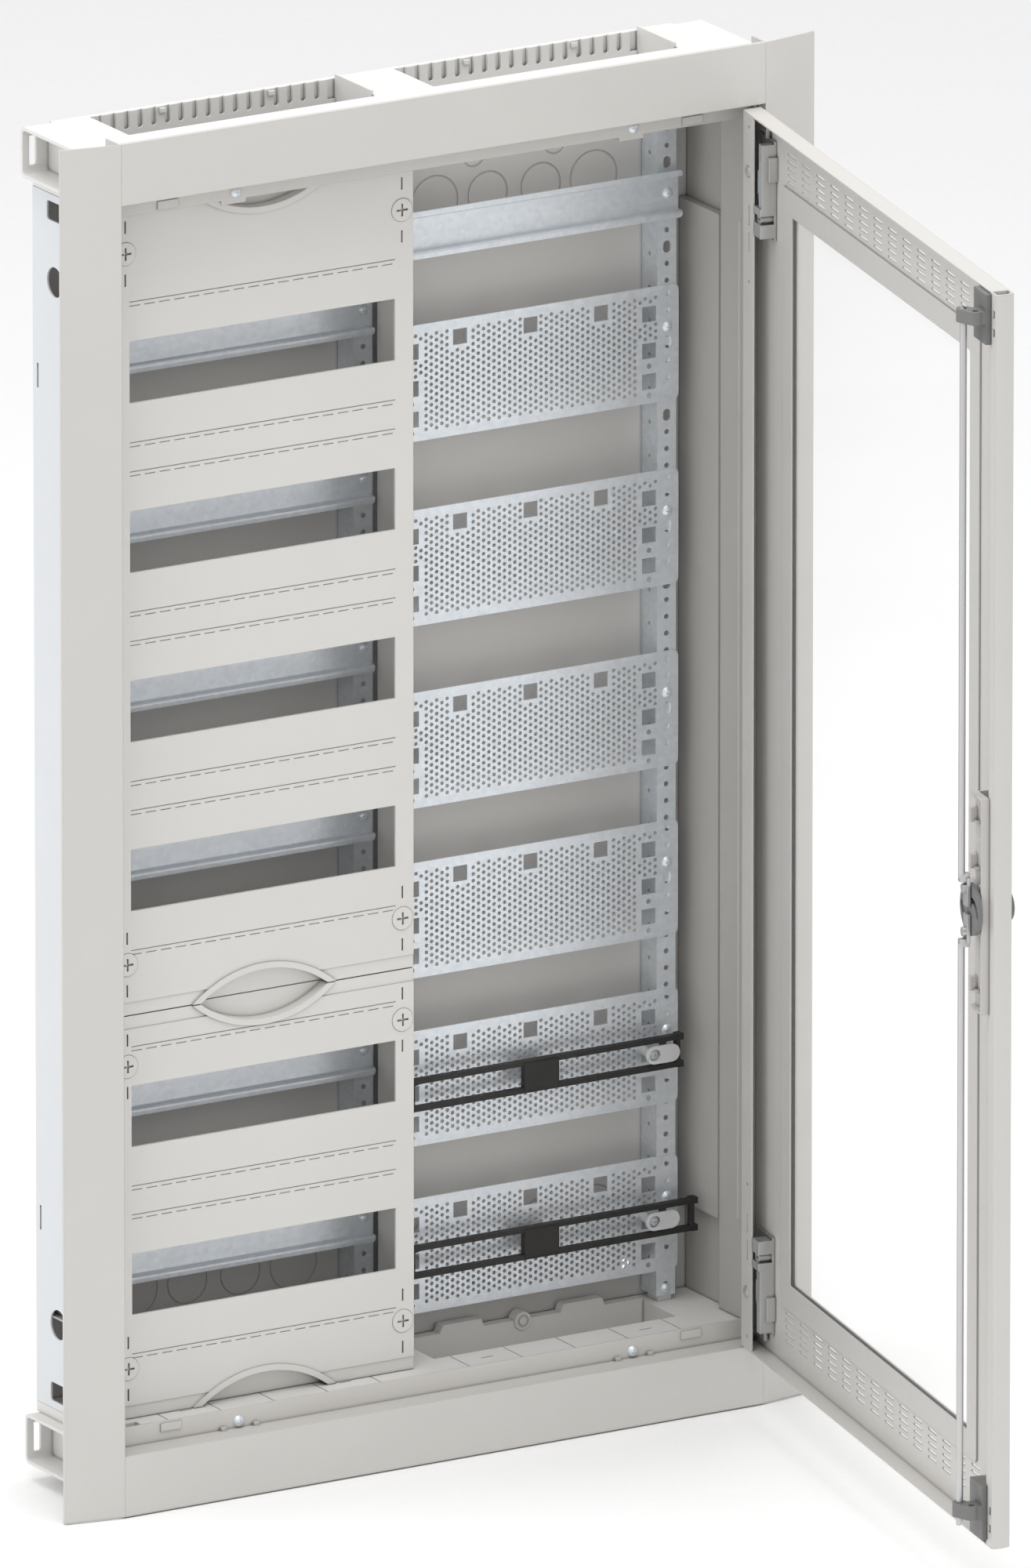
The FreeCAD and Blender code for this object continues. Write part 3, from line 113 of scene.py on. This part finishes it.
def remap(tree, value, low, high, start=0.3, end=0.7):
    """Stretch a value from start..end to low..high."""
    node = tree.nodes.new("ShaderNodeMapRange")
    node.inputs["From Min"].default_value = start
    node.inputs["From Max"].default_value = end
    node.inputs["To Min"].default_value = low
    node.inputs["To Max"].default_value = high
    tree.links.new(value, node.inputs["Value"])
    return node.outputs["Result"]


def mix_colour(tree, factor, first, second, blend="MIX"):
    """Mix two colours, each a plain colour or a node's output; factor is a number or an output."""
    node = tree.nodes.new("ShaderNodeMix")
    node.data_type = "RGBA"
    node.blend_type = blend
    if isinstance(factor, float):
        node.inputs["Factor"].default_value = factor
    else:
        tree.links.new(factor, node.inputs["Factor"])
    for value, socket in ((first, node.inputs["A"]), (second, node.inputs["B"])):
        if isinstance(value, tuple):
            socket.default_value = value + (1.0,)
        else:
            tree.links.new(value, socket)
    return node.outputs["Result"]


def edge_mask(tree, radius):
    """One on sharp edges and zero elsewhere, from how far a bevel turns the normal."""
    bevel = tree.nodes.new("ShaderNodeBevel")
    bevel.samples = 4
    bevel.inputs["Radius"].default_value = radius
    geometry = tree.nodes.new("ShaderNodeNewGeometry")
    dot = tree.nodes.new("ShaderNodeVectorMath")
    dot.operation = "DOT_PRODUCT"
    tree.links.new(bevel.outputs["Normal"], dot.inputs[0])
    tree.links.new(geometry.outputs["Normal"], dot.inputs[1])
    return remap(tree, dot.outputs["Value"], 1.0, 0.0, 0.75, 0.99), bevel.outputs["Normal"]


def paint_crevice_shade(tree, tone, reach, darkest):
    """Paint shade into a tone in grooves, seams and inner corners, where less light reaches."""
    node = tree.nodes.new("ShaderNodeAmbientOcclusion")
    node.samples = 4
    node.inputs["Distance"].default_value = reach
    factor = remap(tree, node.outputs["AO"], darkest, 1.0, 0.15, 0.85)
    grey = tree.nodes.new("ShaderNodeCombineColor")
    for channel in ("Red", "Green", "Blue"):
        tree.links.new(factor, grey.inputs[channel])
    return mix_colour(tree, 1.0, tone, grey.outputs["Color"], "MULTIPLY")


def bump(tree, height, depth, normal=None):
    """Normal of a surface raised by height times depth."""
    node = tree.nodes.new("ShaderNodeBump")
    node.inputs["Strength"].default_value = 1.0
    node.inputs["Distance"].default_value = depth
    tree.links.new(height, node.inputs["Height"])
    if normal is not None:
        tree.links.new(normal, node.inputs["Normal"])
    return node.outputs["Normal"]


def shade(colour, factor):
    """The colour made lighter or darker, never past white."""
    return tuple(min(1.0, channel * factor) for channel in colour)


def finish_material(name, colour, rough, grain, grain_depth, mottle=14.0, spread=0.03,
                    metallic=0.0, edge_radius=0.8 * MM, edge_gain=1.08, coat=0.0, alpha=1.0,
                    painted_shade_floor=0.25):
    """Painted, moulded or plated surface: slow tone variation, fine grain, worn edges, painted shade in
    grooves.

    The last argument is the tone of the painted shade left in the deepest groove; 1 paints no groove shade.
    """
    material, tree, shader = new_material(name)
    slow = noise(tree, mottle)
    tone = mix_colour(tree, slow, shade(colour, 1 - spread), shade(colour, 1 + spread))
    fine = noise(tree, grain, 3.0, 0.6)
    tone = mix_colour(tree, remap(tree, fine, 0.0, 0.35, 0.35, 0.8), tone, shade(colour, 0.93))
    normal = None
    if edge_radius > 0:
        edges, normal = edge_mask(tree, edge_radius)
        broken = tree.nodes.new("ShaderNodeMath")
        broken.operation = "MULTIPLY"
        tree.links.new(edges, broken.inputs[0])
        tree.links.new(remap(tree, noise(tree, 90.0), 0.25, 1.0, 0.35, 0.6), broken.inputs[1])
        tone = mix_colour(tree, broken.outputs["Value"], tone, shade(colour, edge_gain))
    # painted shade: ambient occlusion darkens the base colour in grooves, seams and inner corners
    if painted_shade_floor < 1.0:
        tone = paint_crevice_shade(tree, tone, PAINTED_SHADE_REACH, painted_shade_floor)
    tree.links.new(tone, shader.inputs["Base Color"])
    tree.links.new(remap(tree, noise(tree, 60.0), rough[0], rough[1]), shader.inputs["Roughness"])
    tree.links.new(bump(tree, fine, grain_depth, normal), shader.inputs["Normal"])
    shader.inputs["Metallic"].default_value = metallic
    shader.inputs["Coat Weight"].default_value = coat
    shader.inputs["Coat Roughness"].default_value = 0.2
    shader.inputs["Specular IOR Level"].default_value = 0.5
    shader.inputs["Alpha"].default_value = alpha
    return material


def zinc_material(name, colour, rough, spangle, metallic, edge_radius=0.0):
    """Galvanised sheet: crystal spangle, faint rolling streaks and a fine grain."""
    material, tree, shader = new_material(name)
    place = tree.nodes.new("ShaderNodeTexCoord")
    cells = tree.nodes.new("ShaderNodeTexVoronoi")
    cells.inputs["Scale"].default_value = spangle
    tree.links.new(place.outputs["Object"], cells.inputs["Vector"])
    cell_tone = tree.nodes.new("ShaderNodeSeparateColor")
    tree.links.new(cells.outputs["Color"], cell_tone.inputs["Color"])
    tone = mix_colour(tree, cell_tone.outputs["Red"], shade(colour, 0.95), shade(colour, 1.05))
    streaks = noise(tree, 30.0, 5.0, 0.6, (0.15, 1.0, 6.0))
    tone = mix_colour(tree, remap(tree, streaks, 0.0, 0.45), tone, shade(colour, 0.9))
    fine = noise(tree, 1400.0, 2.0)
    normal = None
    if edge_radius > 0:
        edges, normal = edge_mask(tree, edge_radius)
        tone = mix_colour(tree, edges, tone, shade(colour, 1.2))
    tree.links.new(tone, shader.inputs["Base Color"])
    tree.links.new(remap(tree, cell_tone.outputs["Green"], rough[0], rough[1], 0.0, 1.0),
                   shader.inputs["Roughness"])
    tree.links.new(bump(tree, fine, 0.02 * MM, normal), shader.inputs["Normal"])
    shader.inputs["Metallic"].default_value = metallic
    return material


MATERIALS = {
    "galvanised_steel": finish_material("galvanised_steel", (0.47, 0.452, 0.43), (0.45, 0.6), 900.0,
                                        0.02 * MM, mottle=8.0, spread=0.025, edge_gain=1.15),
    "sheet_white": finish_material("sheet_white", (0.66, 0.68, 0.70), (0.35, 0.5), 700.0, 0.02 * MM,
                                   mottle=9.0, edge_gain=1.15),
    "moulded_plastic": finish_material("moulded_plastic", (0.71, 0.70, 0.68), (0.5, 0.62), 1100.0, 0.03 * MM,
                                       edge_gain=1.15),
    "trim_paint": finish_material("trim_paint", (0.59, 0.575, 0.55), (0.38, 0.5), 800.0, 0.035 * MM,
                                  edge_radius=1.0 * MM, edge_gain=1.12),
    "zinc": zinc_material("zinc", (0.78, 0.82, 0.86), (0.36, 0.48), 260.0, 0.65),
    "cover_plastic": finish_material("cover_plastic", (0.665, 0.65, 0.625), (0.42, 0.55), 1000.0,
                                     0.025 * MM, edge_gain=1.08),
    "black_plastic": finish_material("black_plastic", (0.016, 0.015, 0.014), (0.5, 0.65), 1100.0, 0.05 * MM,
                                     spread=0.1, edge_gain=2.2),
    "clear_plastic": finish_material("clear_plastic", (0.75, 0.76, 0.76), (0.12, 0.25), 300.0, 0.02 * MM,
                                     edge_radius=0.6 * MM, edge_gain=1.3, coat=0.6, alpha=0.62, painted_shade_floor=1.0),
    "grey_plastic": finish_material("grey_plastic", (0.17, 0.17, 0.168), (0.42, 0.55), 900.0, 0.04 * MM,
                                    edge_gain=1.6),
    "light_plastic": finish_material("light_plastic", (0.56, 0.545, 0.525), (0.42, 0.55), 900.0, 0.03 * MM,
                                     edge_gain=1.12),
    "pane": finish_material("pane", (0.93, 0.935, 0.93), (0.1, 0.2), 40.0, 0.005 * MM, mottle=3.0,
                            spread=0.01, edge_radius=0.0, alpha=0.12, painted_shade_floor=1.0),
    # painted light: a lighter copy of the interior steel colour for the back wall, standing in for the extra
    # light it catches
    "rear_sheet_lit_copy": finish_material("rear_sheet_lit_copy", (0.57, 0.555, 0.535), (0.45, 0.6), 900.0, 0.02 * MM,
                                  mottle=8.0, spread=0.02, edge_gain=1.1),
    "plated_steel": finish_material("plated_steel", (0.55, 0.555, 0.55), (0.3, 0.42), 600.0, 0.02 * MM,
                                    metallic=0.8, edge_gain=1.3),
}


def dress(obj, slot):
    """Give an object one material."""
    obj.data.materials.clear()
    obj.data.materials.append(MATERIALS[slot])


for node, obj in NODES.items():
    dress(obj, SLOT_OF[node])
# the back wall takes the lighter, painted-light copy of the interior steel
dress(NODES["rear_panel"], "rear_sheet_lit_copy")

# ---------------------------------------------------------------- top-hat rails with rolled bends
RAIL_SHEET = 1.0 * MM
BEND_R = 1.3 * MM
LIP_CORNER = 2.5 * MM
BEND_STEPS = 6
WEB_HALF = 13.0 * MM          # half height of the rail's set-back middle
LIP_ANGLES = (90.0, 70.0, 50.0, 35.0, 20.0, 0.0)


def rail_centre_line(front, back, web, lip):
    """Centre line of the section as (y, z) points: lip, bend, web, bend, base and back again."""
    corners = [(front, -lip), (front, -web), (back, -web), (back, web), (front, web), (front, lip)]
    line = [Vector(corners[0])]
    for before, corner, after in zip(corners, corners[1:], corners[2:]):
        corner = Vector(corner)
        arrive = (corner - Vector(before)).normalized()
        leave = (Vector(after) - corner).normalized()
        middle = corner - arrive * BEND_R + leave * BEND_R
        for step in range(BEND_STEPS + 1):
            turn = math.radians(90.0) * step / BEND_STEPS
            line.append(middle - leave * BEND_R * math.cos(turn) + arrive * BEND_R * math.sin(turn))
    line.append(Vector(corners[-1]))
    return line


def with_lip_steps(line, lip):
    """Add points near both lip ends, so that their corners can be rounded."""
    ends = [line[0].copy(), line[-1].copy()]
    extra = []
    for end in ends:
        side = 1.0 if end.y > 0 else -1.0
        extra.append([Vector((end.x, side * (lip - LIP_CORNER * (1 - math.cos(math.radians(angle))))))
                      for angle in LIP_ANGLES])
    return list(reversed(extra[0])) + line[1:-1] + extra[1]


def rolled_rail(node):
    """Top-hat rail in the node's place, with rolled bends and rounded lip corners."""
    low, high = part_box(node)
    centre_z = (low.z + high.z) / 2
    lip = (high.z - low.z) / 2
    front, back = low.y + RAIL_SHEET / 2, high.y - RAIL_SHEET / 2
    line = with_lip_steps(rail_centre_line(front, back, WEB_HALF, lip), lip)
    mesh = bmesh.new()
    rings = []
    for index, point in enumerate(line):
        ahead = line[min(index + 1, len(line) - 1)] - line[max(index - 1, 0)]
        across = Vector((-ahead.y, ahead.x)).normalized() * (RAIL_SHEET / 2)
        depth = max(0.0, abs(point.y) - (lip - LIP_CORNER))
        inset = LIP_CORNER - math.sqrt(max(0.0, LIP_CORNER ** 2 - depth ** 2))
        ring = []
        for end_x in (low.x + inset, high.x - inset):
            for offset in (across, -across):
                ring.append(mesh.verts.new((end_x, point.x + offset.x, centre_z + point.y + offset.y)))
        rings.append(ring)
    for (a, b, c, d), (e, f, g, h) in zip(rings, rings[1:]):
        for quad in ((a, e, g, c), (b, d, h, f), (a, b, f, e), (c, g, h, d)):
            mesh.faces.new(quad)
    for a, b, c, d in (rings[0], rings[-1]):
        mesh.faces.new((a, c, d, b))
    bmesh.ops.recalc_face_normals(mesh, faces=mesh.faces)
    data = bpy.data.meshes.new(node + "_rolled")
    mesh.to_mesh(data)
    mesh.free()
    data.shade_smooth()
    data.set_sharp_from_angle(angle=math.radians(40.0))
    rail = bpy.data.objects.new(node + "_rolled", data)
    bpy.context.scene.collection.objects.link(rail)
    dress(rail, SLOT_OF[node])
    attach(rail, "cabinet")
    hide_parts(node)


for node in [name for name in NODES if name.startswith("din_rail_")]:
    rolled_rail(node)

# ---------------------------------------------------------------- floor, world and lights
FLOOR_Z = CAD_BOX[0][2] - 1.0 * MM
FLOOR_HALF = 14.0
WORLD_STRENGTH = 0.76

floor_mesh = bpy.data.meshes.new("floor")
floor_mesh.from_pydata([(-FLOOR_HALF, -FLOOR_HALF, FLOOR_Z), (FLOOR_HALF, -FLOOR_HALF, FLOOR_Z),
                        (FLOOR_HALF, FLOOR_HALF, FLOOR_Z), (-FLOOR_HALF, FLOOR_HALF, FLOOR_Z)],
                       [], [(0, 1, 2, 3)])
floor = bpy.data.objects.new("floor", floor_mesh)
bpy.context.scene.collection.objects.link(floor)
floor.data.materials.append(finish_material("floor", (0.97, 0.97, 0.97), (0.8, 0.9), 200.0, 0.01 * MM,
                                            mottle=0.4, spread=0.005, edge_radius=0.0, painted_shade_floor=1.0))

world = bpy.data.worlds.new("studio")
world.use_nodes = True
world.node_tree.nodes["Background"].inputs["Color"].default_value = (1.0, 1.0, 1.0, 1.0)
world.node_tree.nodes["Background"].inputs["Strength"].default_value = WORLD_STRENGTH
bpy.context.scene.world = world


def area_light(name, place, target, size, power, colour=(1.0, 1.0, 1.0)):
    """Rectangular soft light at a place, turned towards its target; power in watts."""
    light = bpy.data.objects.new(name, bpy.data.lights.new(name, "AREA"))
    bpy.context.scene.collection.objects.link(light)
    light.data.shape = "RECTANGLE"
    light.data.size, light.data.size_y = size
    light.data.energy = power
    light.data.color = colour
    light.location = place
    light.rotation_euler = (Vector(target) - Vector(place)).to_track_quat("-Z", "Y").to_euler()


area_light("key", (-2.2, -3.0, 2.6), (0, 0, 0), (2.0, 2.0), 10.0, (1.0, 0.99, 0.97))
area_light("left", (-3.6, 0.8, 1.4), (0, 0, 0), (2.4, 2.4), 26.0)
area_light("fill", (3.2, -3.2, 0.8), (0, 0, 0), (2.4, 2.4), 8.0, (0.97, 0.985, 1.0))
area_light("top", (-0.2, -0.5, 3.4), (0, -0.1, 0), (3.4, 3.4), 88.0)
